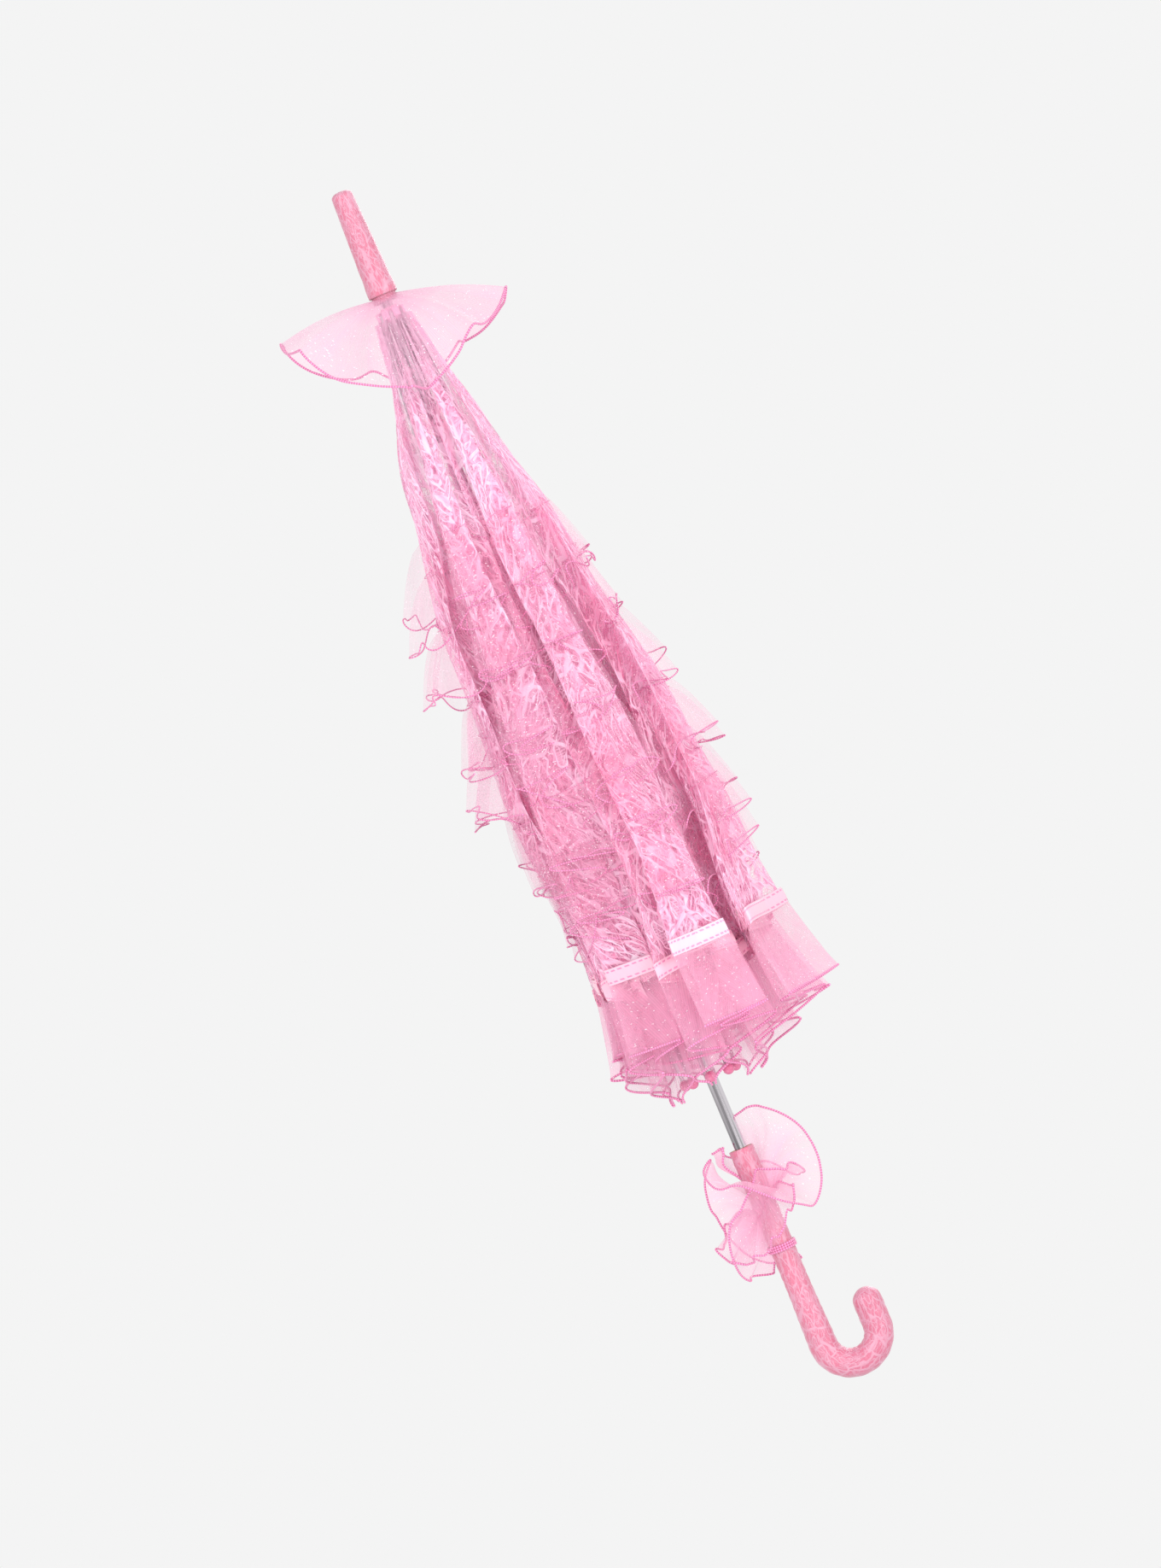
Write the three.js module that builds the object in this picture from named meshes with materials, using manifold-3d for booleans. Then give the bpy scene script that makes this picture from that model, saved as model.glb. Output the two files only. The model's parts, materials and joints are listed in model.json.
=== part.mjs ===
// Lace parasol, closed: eight ribs on a steel tube, a runner with eight stretchers, a lace canopy
// of sixteen half gores, a covered spike and a covered J-shaped crook.
// Millimetres, +Z along the shaft towards the spike, origin in the middle of the grip.
// The crook opens towards +X.

import * as THREE from 'three';
import { mergeVertices } from 'three/addons/utils/BufferGeometryUtils.js';
import Module from 'manifold-3d';

const wasm = await Module();
wasm.setup();

const DEG = Math.PI / 180;

// ---- driving dimensions ----
const CLEARANCE = 0.3;          // gap left wherever two pieces fit into each other

const tube = { radius: 4, wall: 0.8, insideSpike: 43 };

const rib = {
  count: 8,
  pivotRadius: 8,               // circle of tie wire that the ribs swing on
  tipHeight: 121.08,            // height of the tips above the grip's middle when closed
  length: 523,                  // chord from pivot to tip
  bow: 12,                      // how far the middle stands out of the chord
  closedTilt: 1,                // degrees between the chord and the shaft when closed
  swing: 75,                    // degrees from closed to open
  width: 2,
  depth: 2.6,
};
const eye = { radius: 1.7, holeRadius: 0.9 };
const tipBall = { radius: 3.8, socketDepth: 4.5 };

const stretcherJoint = { along: 215, inset: 3.4, lugRadius: 2.3, holeRadius: 1.2 };
const stretcher = { width: 2, depth: 1.8, cheek: 0.9, cheekRadius: 2, rivetRadius: 0.9 };

const slot = { width: 2.6, floorRadius: 6.1 };
const notch = { flangeRadius: 9.8, flangeHeight: 5.6, hubRadius: 5.8, hubHeight: 9 };
const wire = { radius: 0.55 };
const runner = { flangeRadius: 9.8, flangeHeight: 5, sleeveRadius: 5.6, sleeveLength: 45 };
const springCatch = { width: 1.8, leaf: 1, nose: 1.9, noseHeight: 8, legLength: 13, azimuth: 90 };
const stopPin = { radius: 1, reach: 6, azimuth: 22.5 };

const canopy = {
  top: 30,                      // where the cloth starts, measured down the rib
  hemInset: 61,                 // from the hem's seam to the rib's end
  ruffleLength: 68,             // from the hem's seam to the edge of the hem ruffle
  flare: 12,                    // how far the hem ruffle stands out past the line of the gore
  thickness: 1.6,
  overRib: 5.6,                 // from the middle of the rib to the cloth over it
};
// closed lean of each gore's fold line in degrees, for gores centred 22.5, 67.5 ... 337.5 degrees
const goreLean = [9.5, 6, 6, 4, 4, 5, 8, 9.5];

const spike = { abovePivots: 13, length: 69.3, bottomRadius: 8.2, topRadius: 5.5, tipRadius: 3.2 };
const skin = { thickness: 0.7 };  // satin and lace over a core

const crownRuffle = { abovePivots: 8, length: 71, thickness: 1.2 };

const crook = {
  top: 72,
  boreDepth: 42,
  gripRadius: 6.6,
  hookRadius: 8,
  bendRadius: 18.65,
  bendHeight: -62.7,
  end: -39,
  taperStart: 85,               // from the top of the core, along its middle line
  taperEnd: 150,
};
const handleRuffle = { bottom: 6, waist: 40, top: 92, waistRadius: 11, bottomRadius: 17, topRadius: 27 };

const colours = {
  steel: [0xc9ccd2, 0.22, 1],
  darkSteel: [0x9da1a8, 0.35, 1],
  plastic: [0xf3b7d2, 0.45, 0],
  bead: [0xf58fb8, 0.35, 0],
  wood: [0xd9b48a, 0.7, 0],
  lace: [0xfab0d6, 0.8, 0],
  organza: [0xf9c9df, 0.5, 0],
  satin: [0xf9829f, 0.55, 0],
};

// ---- heights and lengths that follow from them ----
const pivotHeight = rib.tipHeight + rib.length * Math.cos(rib.closedTilt * DEG);
const hem = rib.length - canopy.hemInset;
const ruffleEnd = hem + canopy.ruffleLength;
const spikeBottom = pivotHeight + spike.abovePivots;
const spikeTop = spikeBottom + spike.length;
const tubeTop = spikeBottom + tube.insideSpike;
const tubeBottom = crook.top - crook.boreDepth + CLEARANCE;

// ---- solids ----
function merged(geometry) {
  geometry.deleteAttribute('normal');
  geometry.deleteAttribute('uv');
  return mergeVertices(geometry, 1e-4);
}

function signedVolume(geometry) {
  const position = geometry.attributes.position;
  const [a, b, c] = [new THREE.Vector3(), new THREE.Vector3(), new THREE.Vector3()];
  let volume = 0;
  for (let i = 0; i < geometry.index.count; i += 3) {
    a.fromBufferAttribute(position, geometry.index.getX(i));
    b.fromBufferAttribute(position, geometry.index.getX(i + 1));
    c.fromBufferAttribute(position, geometry.index.getX(i + 2));
    volume += a.dot(b.cross(c));
  }
  return volume;
}

// A closed body with its faces pointing out; triangles that shrank to a line are dropped.
function closed(geometry) {
  const body = merged(geometry);
  const corners = Array.from(body.index.array);
  const kept = [];
  for (let i = 0; i < corners.length; i += 3) {
    const [a, b, c] = corners.slice(i, i + 3);
    if (a !== b && b !== c && c !== a) kept.push(a, b, c);
  }
  body.setIndex(kept);
  if (signedVolume(body) < 0) body.setIndex(kept.reverse());
  return body;
}

function toSolid(geometry) {
  const body = closed(geometry);
  return new wasm.Manifold(new wasm.Mesh({
    numProp: 3,
    vertProperties: new Float32Array(body.attributes.position.array),
    triVerts: new Uint32Array(body.index.array),
  }));
}

function toGeometry(solid) {
  const mesh = solid.getMesh();
  const geometry = new THREE.BufferGeometry();
  geometry.setAttribute('position', new THREE.BufferAttribute(mesh.vertProperties, 3));
  geometry.setIndex(new THREE.BufferAttribute(mesh.triVerts, 1));
  return geometry;
}

function joined(...geometries) {
  return geometries.map(toSolid).reduce((all, solid) => all.add(solid));
}

function cutBy(solid, geometries) {
  return geometries.reduce((left, geometry) => left.subtract(toSolid(geometry)), solid);
}

// Moves every corner of a geometry to place(corner).
function reshaped(geometry, place) {
  const position = geometry.attributes.position;
  const corner = new THREE.Vector3();
  for (let i = 0; i < position.count; i += 1) {
    corner.fromBufferAttribute(position, i);
    position.setXYZ(i, ...place(corner).toArray());
  }
  return geometry;
}

// A body of revolution about Z from (radius, height) pairs.
function turned(profile, segments = 16) {
  const points = profile.map(([radius, height]) => new THREE.Vector2(radius, height));
  return new THREE.LatheGeometry(points, segments).rotateX(Math.PI / 2);
}

function ring(innerRadius, outerRadius, bottom, top, segments) {
  return turned([[innerRadius, bottom], [outerRadius, bottom], [outerRadius, top], [innerRadius, top],
    [innerRadius, bottom]], segments);
}

// A round bar along Y, the direction of every pivot in the plane y = 0.
function crossBar(radius, length, x, z, segments = 10) {
  return new THREE.CylinderGeometry(radius, radius, length, segments).translate(x, 0, z);
}

function block(x, y, z, centre) {
  return new THREE.BoxGeometry(x, y, z).translate(...centre);
}

// Radii of a quarter round that closes a bar's end, as (radius, distance) pairs.
function roundEnd(radius, end, flat = 0, steps = 4) {
  return Array.from({ length: steps }, (_, i) => {
    const angle = (i + 1) / steps * Math.PI / 2;
    const r = flat + (radius - flat) * Math.cos(angle);
    return [r < 1e-6 ? 0 : r, end - (radius - flat) * (1 - Math.sin(angle))];
  });
}

const parasol = new THREE.Group();

function addPiece(name, shape, [color, roughness, metalness], azimuth = 0) {
  const geometry = shape.isBufferGeometry ? closed(shape) : toGeometry(shape);
  const mesh = new THREE.Mesh(geometry, new THREE.MeshStandardMaterial({ color, roughness, metalness }));
  mesh.name = name;
  mesh.rotation.z = azimuth * DEG;
  parasol.add(mesh);
}

// ---- lines of the frame, in the plane y = 0: x is the distance from the shaft ----
function swung(point, degrees, pivotX = rib.pivotRadius) {
  const out = point.x - pivotX;
  const down = pivotHeight - point.y;
  const [c, s] = [Math.cos(degrees * DEG), Math.sin(degrees * DEG)];
  return new THREE.Vector2(pivotX + out * c + down * s, pivotHeight - down * c + out * s);
}

// Middle line of a closed rib, at a distance along its chord, moved sideways by offset.
function ribPoint(along, offset = 0) {
  const share = along / rib.length;
  const out = 4 * rib.bow * share * (1 - share) + offset;
  const down = new THREE.Vector2(rib.pivotRadius + out, pivotHeight - along);
  return swung(down, rib.closedTilt);
}

// Middle of an open gore, half way between two open ribs.
function openFold(along) {
  const open = swung(ribPoint(along), rib.swing);
  return new THREE.Vector2(open.x * Math.cos(Math.PI / rib.count), open.y);
}

const foldPivotRadius = rib.pivotRadius * Math.cos(Math.PI / rib.count);
const openHem = openFold(hem);
const openLean = Math.atan2(openHem.x - foldPivotRadius, pivotHeight - openHem.y) / DEG;

// The same line with the gore closed, leaning out by lean degrees; the hem ruffle flares past the hem.
function closedFold(along, lean) {
  const point = swung(openFold(along), lean - openLean, foldPivotRadius);
  const past = Math.max(0, (along - hem) / (ruffleEnd - hem));
  point.x += canopy.flare * past;
  return point;
}

const jointPoint = ribPoint(stretcherJoint.along, -stretcherJoint.inset);
const linkLength = Math.hypot(jointPoint.x - rib.pivotRadius, pivotHeight - jointPoint.y);
const runnerClosed = pivotHeight - 2 * (pivotHeight - jointPoint.y);
const runnerOpen = pivotHeight - 2 * (pivotHeight - swung(jointPoint, rib.swing).y);

// ---- tube, notch and runner ----
function catchHeights() {
  const belowSleeve = springCatch.noseHeight + CLEARANCE;
  return { bottom: runnerClosed - runner.sleeveLength * 0.8, top: runnerOpen - runner.sleeveLength - belowSleeve };
}

function catchWindow(height) {
  const tall = springCatch.noseHeight + 2 * CLEARANCE;
  const window = block(tube.radius + 2, springCatch.width + 2 * CLEARANCE, tall,
    [(tube.radius + 2) / 2, 0, height + springCatch.noseHeight / 2]);
  return window.rotateZ(springCatch.azimuth * DEG);
}

function stopPinBar(radius, reach) {
  const bar = crossBar(radius, 2 * reach, 0, 0).rotateZ(stopPin.azimuth * DEG - Math.PI / 2);
  return bar.translate(0, 0, runnerOpen + runner.flangeHeight / 2 + stopPin.radius + CLEARANCE);
}

function makeShaft() {
  const { bottom, top } = catchHeights();
  const wall = toSolid(ring(tube.radius - tube.wall, tube.radius, tubeBottom, tubeTop));
  return cutBy(wall, [catchWindow(bottom), catchWindow(top),
    stopPinBar(stopPin.radius + CLEARANCE, stopPin.reach)]);
}

// A leaf inside the tube with a sloped nose that stands out through the window.
function makeCatch(height) {
  const inside = tube.radius - tube.wall - CLEARANCE;
  const leaf = new THREE.Shape();
  leaf.moveTo(inside - springCatch.leaf, -springCatch.legLength);
  leaf.lineTo(inside, -springCatch.legLength);
  leaf.lineTo(inside, 0);
  leaf.lineTo(tube.radius + springCatch.nose, springCatch.noseHeight);
  leaf.lineTo(inside - springCatch.leaf, springCatch.noseHeight);
  leaf.closePath();
  const plate = new THREE.ExtrudeGeometry(leaf, { depth: springCatch.width, bevelEnabled: false });
  return plate.rotateX(Math.PI / 2).translate(0, springCatch.width / 2, height);
}

function radialSlots(height, reach) {
  return Array.from({ length: rib.count }, (_, i) => block(reach, slot.width, height + 2,
    [slot.floorRadius + reach / 2, 0, 0]).rotateZ(i / rib.count * 2 * Math.PI));
}

function makeNotch() {
  const bore = tube.radius + CLEARANCE;
  const flange = ring(bore, notch.flangeRadius, -notch.flangeHeight / 2, notch.flangeHeight / 2, 24);
  const hub = ring(bore, notch.hubRadius, -notch.hubHeight / 2, notch.hubHeight / 2, 24);
  const groove = new THREE.TorusGeometry(rib.pivotRadius, wire.radius + CLEARANCE, 6, 24);
  const cuts = [groove, ...radialSlots(notch.hubHeight, notch.flangeRadius)];
  return cutBy(joined(flange, hub), cuts).translate([0, 0, pivotHeight]);
}

function makeTieWire() {
  return new THREE.TorusGeometry(rib.pivotRadius, wire.radius, 6, 24).translate(0, 0, pivotHeight);
}

// The slots and the long slit run right through, so the stretchers' eyes and the catches pass them.
function makeRunner() {
  const bore = tube.radius + CLEARANCE;
  const top = runner.flangeHeight / 2;
  const flange = ring(bore, runner.flangeRadius, -top, top, 24);
  const sleeve = ring(bore, runner.sleeveRadius, top - runner.sleeveLength, top, 24);
  const slitReach = tube.radius + springCatch.nose + CLEARANCE;
  const slit = block(slitReach, springCatch.width + 2 * CLEARANCE, 2 * runner.sleeveLength + 2,
    [slitReach / 2, 0, 0]).rotateZ(springCatch.azimuth * DEG);
  const cuts = [slit, ...radialSlots(runner.flangeHeight, runner.flangeRadius)];
  return cutBy(joined(flange, sleeve), cuts).translate([0, 0, runnerClosed]);
}

// ---- ribs and stretchers, made in the plane y = 0 ----
function makeRib() {
  const bar = new THREE.BoxGeometry(rib.depth, rib.width, rib.length, 1, 1, 12);
  reshaped(bar, (corner) => {
    const point = ribPoint(rib.length / 2 - corner.z, corner.x);
    return new THREE.Vector3(point.x, corner.y, point.y);
  });
  const pivot = crossBar(eye.radius, rib.width, rib.pivotRadius, pivotHeight);
  const lug = crossBar(stretcherJoint.lugRadius, rib.width, jointPoint.x, jointPoint.y);
  return cutBy(joined(bar, pivot, lug), [
    crossBar(eye.holeRadius, 2 * rib.width, rib.pivotRadius, pivotHeight),
    crossBar(stretcherJoint.holeRadius, 2 * rib.width, jointPoint.x, jointPoint.y),
  ]);
}

function makeTipBall() {
  const socket = Math.hypot(rib.width, rib.depth) / 2 + CLEARANCE;
  const mouth = Math.sqrt(tipBall.radius ** 2 - socket ** 2);
  const floor = mouth - tipBall.socketDepth;
  const outline = [[0, floor], [socket, floor], [socket, mouth]];
  const start = Math.atan2(socket, mouth);
  for (let i = 1; i <= 6; i += 1) {
    const angle = start + (Math.PI - start) * i / 6;
    outline.push([i === 6 ? 0 : tipBall.radius * Math.sin(angle), tipBall.radius * Math.cos(angle)]);
  }
  const end = ribPoint(rib.length);
  const before = ribPoint(rib.length - 10);
  const lean = Math.atan2(end.x - before.x, before.y - end.y);
  const depth = tipBall.socketDepth - mouth - CLEARANCE;
  return turned(outline, 10).rotateY(-lean)
    .translate(end.x - depth * Math.sin(lean), 0, end.y + depth * Math.cos(lean));
}

// Pins, cheeks and bar lie on the line from the rivet down to the runner's pivot circle.
function makeStretcher() {
  const cheekGap = rib.width / 2 + CLEARANCE;
  const forkWidth = 2 * (cheekGap + stretcher.cheek);
  const root = stretcherJoint.lugRadius + 2 * CLEARANCE;
  const forkEnd = root + 4;
  const bar = block(stretcher.depth, stretcher.width, linkLength - forkEnd + 1,
    [0, 0, -(linkLength + forkEnd - 1) / 2]);
  const neck = block(stretcher.depth, forkWidth, forkEnd - root, [0, 0, -(root + forkEnd) / 2]);
  const cheeks = [-1, 1].flatMap((side) => {
    const y = side * (cheekGap + stretcher.cheek / 2);
    return [crossBar(stretcher.cheekRadius, stretcher.cheek, 0, 0).translate(0, y, 0),
      block(stretcher.depth, stretcher.cheek, root + 1, [0, y, -(root + 1) / 2])];
  });
  const rivet = crossBar(stretcher.rivetRadius, forkWidth, 0, 0);
  const lowerEye = crossBar(eye.radius, stretcher.width, 0, -linkLength);
  const hole = crossBar(eye.holeRadius, 2 * stretcher.width, 0, -linkLength);
  const lean = Math.atan2(jointPoint.x - rib.pivotRadius, pivotHeight - jointPoint.y) / DEG;
  return cutBy(joined(bar, neck, ...cheeks, rivet, lowerEye), [hole])
    .rotate([0, lean, 0]).translate([jointPoint.x, 0, jointPoint.y]);
}

// ---- cloth ----
// Half a gore, from over the rib to the fold line of the gore; side is 1 or -1 round the shaft.
function makeHalfGore(ribAzimuth, lean, side) {
  const halfAngle = Math.PI / rib.count;
  const sheet = new THREE.BoxGeometry(1, 1, 1, 3, 1, 12);
  return reshaped(sheet, (corner) => {
    const along = canopy.top + (ruffleEnd - canopy.top) * (0.5 - corner.z);
    const share = corner.x + 0.5;
    const fold = closedFold(along, lean);
    const over = ribPoint(Math.min(along, rib.length), canopy.overRib);
    const height = THREE.MathUtils.lerp(over.y, fold.y, share);
    const belowRib = Math.max(0, along - rib.length);
    const middle = THREE.MathUtils.lerp(over.x, fold.x, Math.sin(share * Math.PI / 2));
    const radius = middle + corner.y * canopy.thickness;
    const gap = CLEARANCE / radius;
    const azimuth = ribAzimuth * DEG + side * THREE.MathUtils.lerp(gap, halfAngle - gap, share);
    return new THREE.Vector3(radius * Math.cos(azimuth), radius * Math.sin(azimuth),
      height - belowRib * (1 - share));
  });
}

// A skirt of organza that stands nearly level on the -X side and hangs steeply at the front.
function crownDrop(azimuth) {
  return (37.8 + 9.5 * Math.cos(azimuth) - 8 * Math.sin(azimuth) - 20.3 * Math.cos(2 * azimuth)) * DEG;
}

function makeCrownRuffle() {
  const { abovePivots, length, thickness } = crownRuffle;
  const hole = tube.radius + CLEARANCE;
  const collar = notch.flangeRadius + 5 * CLEARANCE;
  const places = [hole, ...[0, 1, 2, 3].map((i) => collar + (length - collar) * i / 3)];
  const under = places.map((radius) => [radius, -thickness / 2]);
  const over = places.map((radius) => [radius, thickness / 2]).reverse();
  return reshaped(turned([...under, ...over, under[0]], 32), (corner) => {
    const azimuth = Math.atan2(corner.y, corner.x);
    const past = Math.max(0, Math.hypot(corner.x, corner.y) - collar);
    const drop = crownDrop(azimuth);
    const radius = Math.hypot(corner.x, corner.y) - past * (1 - Math.cos(drop));
    return new THREE.Vector3(radius * Math.cos(azimuth), radius * Math.sin(azimuth),
      pivotHeight + abovePivots - past * Math.sin(drop) + corner.z);
  });
}

function makeHandleRuffle() {
  const { bottom, waist, top, waistRadius, bottomRadius, topRadius } = handleRuffle;
  const bore = crook.gripRadius + 2 * CLEARANCE + skin.thickness;
  const profile = [[bore, waist - 6], [bottomRadius - 3, bottom], [bottomRadius, bottom + 1],
    [waistRadius, waist], [topRadius, top - 22], [topRadius + 1, top], [topRadius - 2, top],
    [topRadius - 6, top - 18], [bore, waist + 12], [bore, waist - 6]];
  return reshaped(turned(profile, 30), (corner) => {
    const azimuth = Math.atan2(corner.y, corner.x);
    const radius = Math.hypot(corner.x, corner.y);
    const lobes = 1 + 0.22 * Math.cos(3 * azimuth) + 0.1 * Math.cos(azimuth);
    const spread = bore + (radius - bore) * lobes;
    return new THREE.Vector3(spread * Math.cos(azimuth), spread * Math.sin(azimuth), corner.z);
  });
}

// ---- spike ----
function spikeRadius(height) {
  const share = (height - spikeBottom) / (spikeTop - spikeBottom);
  return THREE.MathUtils.lerp(spike.bottomRadius, spike.topRadius, share);
}

function makeSpikeCore() {
  const bore = tube.radius + CLEARANCE;
  const shoulder = spikeTop - (spike.topRadius - spike.tipRadius);
  return turned([[0, tubeTop + CLEARANCE], [bore, tubeTop + CLEARANCE], [bore, spikeBottom],
    [spike.bottomRadius, spikeBottom], [spikeRadius(shoulder), shoulder],
    ...roundEnd(spikeRadius(shoulder), spikeTop, spike.tipRadius), [0, spikeTop]]);
}

function makeSpikeCover() {
  const inner = CLEARANCE;
  const outer = CLEARANCE + skin.thickness;
  const shoulder = spikeTop - (spike.topRadius - spike.tipRadius);
  const outline = (offset) => [[spike.bottomRadius + offset, spikeBottom],
    [spikeRadius(shoulder) + offset, shoulder],
    ...roundEnd(spikeRadius(shoulder) + offset, spikeTop + offset, spike.tipRadius + offset / 2)];
  return turned([[0, spikeTop + inner], ...outline(inner).reverse(), ...outline(outer),
    [0, spikeTop + outer]]);
}

// ---- crook ----
const crookLine = new THREE.Path();
crookLine.moveTo(0, crook.top);
crookLine.lineTo(0, crook.bendHeight);
crookLine.absarc(crook.bendRadius, crook.bendHeight, crook.bendRadius, Math.PI, 2 * Math.PI, false);
crookLine.lineTo(2 * crook.bendRadius, crook.end);
const crookLength = crookLine.getLength();

function crookRadius(along) {
  return THREE.MathUtils.lerp(crook.gripRadius, crook.hookRadius,
    THREE.MathUtils.smoothstep(along, crook.taperStart, crook.taperEnd));
}

// Distances along the crook at which its section is set, before its rounded end.
function crookSteps() {
  const bendStart = crook.top - crook.bendHeight;
  const bendEnd = bendStart + Math.PI * crook.bendRadius;
  const steps = [crook.taperStart, (crook.taperStart + bendStart) / 2];
  for (let i = 0; i <= 8; i += 1) steps.push(THREE.MathUtils.lerp(bendStart, bendEnd, i / 8));
  return steps;
}

function crookOutline(offset, end) {
  const sides = [0, ...crookSteps()].map((along) => [crookRadius(along) + offset, along]);
  const radius = crook.hookRadius + offset;
  return [...sides, [radius, end - radius], ...roundEnd(radius, end)];
}

// Bends a body of revolution, whose axis is the distance along the crook, onto the crook's line.
function bentToCrook(profile) {
  return reshaped(turned(profile, 14), (corner) => {
    const share = THREE.MathUtils.clamp(corner.z / crookLength, 0, 1);
    const middle = crookLine.getPoint(share);
    const way = crookLine.getTangent(share);
    return new THREE.Vector3(middle.x - way.y * corner.x, corner.y, middle.y + way.x * corner.x);
  });
}

function makeCrookCore() {
  const bore = tube.radius + CLEARANCE;
  const end = crookLength - skin.thickness - CLEARANCE;
  return bentToCrook([[0, crook.boreDepth], [bore, crook.boreDepth], [bore, 0], ...crookOutline(0, end)]);
}

function makeCrookCover() {
  const inner = crookOutline(CLEARANCE, crookLength - skin.thickness).reverse();
  return bentToCrook([...inner, ...crookOutline(CLEARANCE + skin.thickness, crookLength)]);
}

// ---- assembly ----
addPiece('shaft', makeShaft(), colours.steel);
addPiece('stop_pin', stopPinBar(stopPin.radius, stopPin.reach), colours.steel);
addPiece('bottom_catch', makeCatch(catchHeights().bottom), colours.darkSteel, springCatch.azimuth);
addPiece('top_catch', makeCatch(catchHeights().top), colours.darkSteel, springCatch.azimuth);
addPiece('top_notch', makeNotch(), colours.plastic);
addPiece('notch_wire', makeTieWire(), colours.steel);
addPiece('runner', makeRunner(), colours.plastic);
addPiece('ferrule_core', makeSpikeCore(), colours.wood);
addPiece('ferrule_cover', makeSpikeCover(), colours.satin);
addPiece('crown_ruffle', makeCrownRuffle(), colours.organza);
addPiece('handle_core', makeCrookCore(), colours.wood);
addPiece('handle_cover', makeCrookCover(), colours.satin);
addPiece('handle_ruffle', makeHandleRuffle(), colours.organza);

for (let i = 0; i < rib.count; i += 1) {
  const azimuth = i * 360 / rib.count;
  const before = goreLean[(i + rib.count - 1) % rib.count];
  addPiece(`rib_${i + 1}`, makeRib(), colours.steel, azimuth);
  addPiece(`rib_tip_${i + 1}`, makeTipBall(), colours.bead, azimuth);
  addPiece(`stretcher_${i + 1}`, makeStretcher(), colours.steel, azimuth);
  addPiece(`gore_after_rib_${i + 1}`, makeHalfGore(azimuth, goreLean[i], 1), colours.lace);
  addPiece(`gore_before_rib_${i + 1}`, makeHalfGore(azimuth, before, -1), colours.lace);
}

export default parasol;
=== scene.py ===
"""Lace parasol: cloth, threads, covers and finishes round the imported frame."""
import json
import math

import bpy
import numpy as np
from bpy.props import FloatProperty, FloatVectorProperty, IntProperty, PointerProperty
from mathutils import Matrix, Vector


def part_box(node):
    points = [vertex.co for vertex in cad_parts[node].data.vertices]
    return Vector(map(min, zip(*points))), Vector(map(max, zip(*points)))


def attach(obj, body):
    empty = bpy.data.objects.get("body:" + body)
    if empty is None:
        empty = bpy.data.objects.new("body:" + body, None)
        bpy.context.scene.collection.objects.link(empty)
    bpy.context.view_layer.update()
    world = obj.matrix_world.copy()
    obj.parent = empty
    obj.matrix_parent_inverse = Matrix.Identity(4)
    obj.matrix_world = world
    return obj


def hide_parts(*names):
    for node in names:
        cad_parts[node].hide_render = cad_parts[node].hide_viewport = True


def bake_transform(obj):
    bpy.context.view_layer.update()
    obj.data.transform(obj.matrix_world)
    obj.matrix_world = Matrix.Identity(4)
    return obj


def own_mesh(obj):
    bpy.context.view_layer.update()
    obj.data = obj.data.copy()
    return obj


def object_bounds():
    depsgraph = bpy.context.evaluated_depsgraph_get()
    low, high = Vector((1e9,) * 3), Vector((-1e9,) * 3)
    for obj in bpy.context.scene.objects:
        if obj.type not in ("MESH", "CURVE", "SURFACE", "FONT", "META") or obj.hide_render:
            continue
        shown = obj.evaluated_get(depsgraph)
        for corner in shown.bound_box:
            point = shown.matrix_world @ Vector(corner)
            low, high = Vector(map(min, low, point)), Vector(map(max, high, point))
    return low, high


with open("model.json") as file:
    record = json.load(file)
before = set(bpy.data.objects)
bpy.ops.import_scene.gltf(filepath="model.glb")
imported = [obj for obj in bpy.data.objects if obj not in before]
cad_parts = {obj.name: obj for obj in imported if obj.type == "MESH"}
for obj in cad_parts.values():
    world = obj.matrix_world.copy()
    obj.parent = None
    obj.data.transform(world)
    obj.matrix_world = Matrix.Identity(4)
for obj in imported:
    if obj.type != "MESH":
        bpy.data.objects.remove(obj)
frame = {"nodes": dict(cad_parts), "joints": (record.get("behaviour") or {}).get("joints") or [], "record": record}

bl_info = {
    "name": "Lace Parasol",
    "version": (1, 0, 0),
    "blender": (4, 5, 0),
    "location": "View3D > Sidebar > Parasol",
    "description": "Makes a lace parasol's cloth, threads, covers and finishes round its frame",
    "category": "Object",
}

MM = 0.001
TAU = 2 * math.pi
CAD_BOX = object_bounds()
JOINTS = {joint["name"]: joint for joint in frame["joints"]}
RATIOS = {c["joint"]: c["ratio"] for c in frame["record"]["behaviour"]["couplings"]}
TRAVEL = JOINTS["runner_slide"]["range_m"][1]
RIB_COUNT = sum(name.startswith("rib_") and name.endswith("_swing") for name in JOINTS)
HALF_GORE = math.pi / RIB_COUNT
PIVOT_RADIUS = math.hypot(*JOINTS["rib_1_swing"]["pos_m"][:2])
PIVOT_HEIGHT = JOINTS["rib_1_swing"]["pos_m"][2]
RIB_SWING = RATIOS["rib_1_swing"] * TRAVEL
FOLD_LIFT = 2.0 * MM          # spacing of a fold's layers
PUFF = 12 * MM                # how far the lace on the crook's far side bags out
SLOUCH = 2.2 * MM             # how unevenly the middle of every gore hangs


# ---- settings -------------------------------------------------------------------------------

def length(name, default, description):
    return FloatProperty(name=name, description=description, default=default, min=0, unit="LENGTH")


def colour(name, default, description):
    return FloatVectorProperty(
        name=name, description=description, default=default, subtype="COLOR", size=3, min=0, max=1
    )


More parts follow.
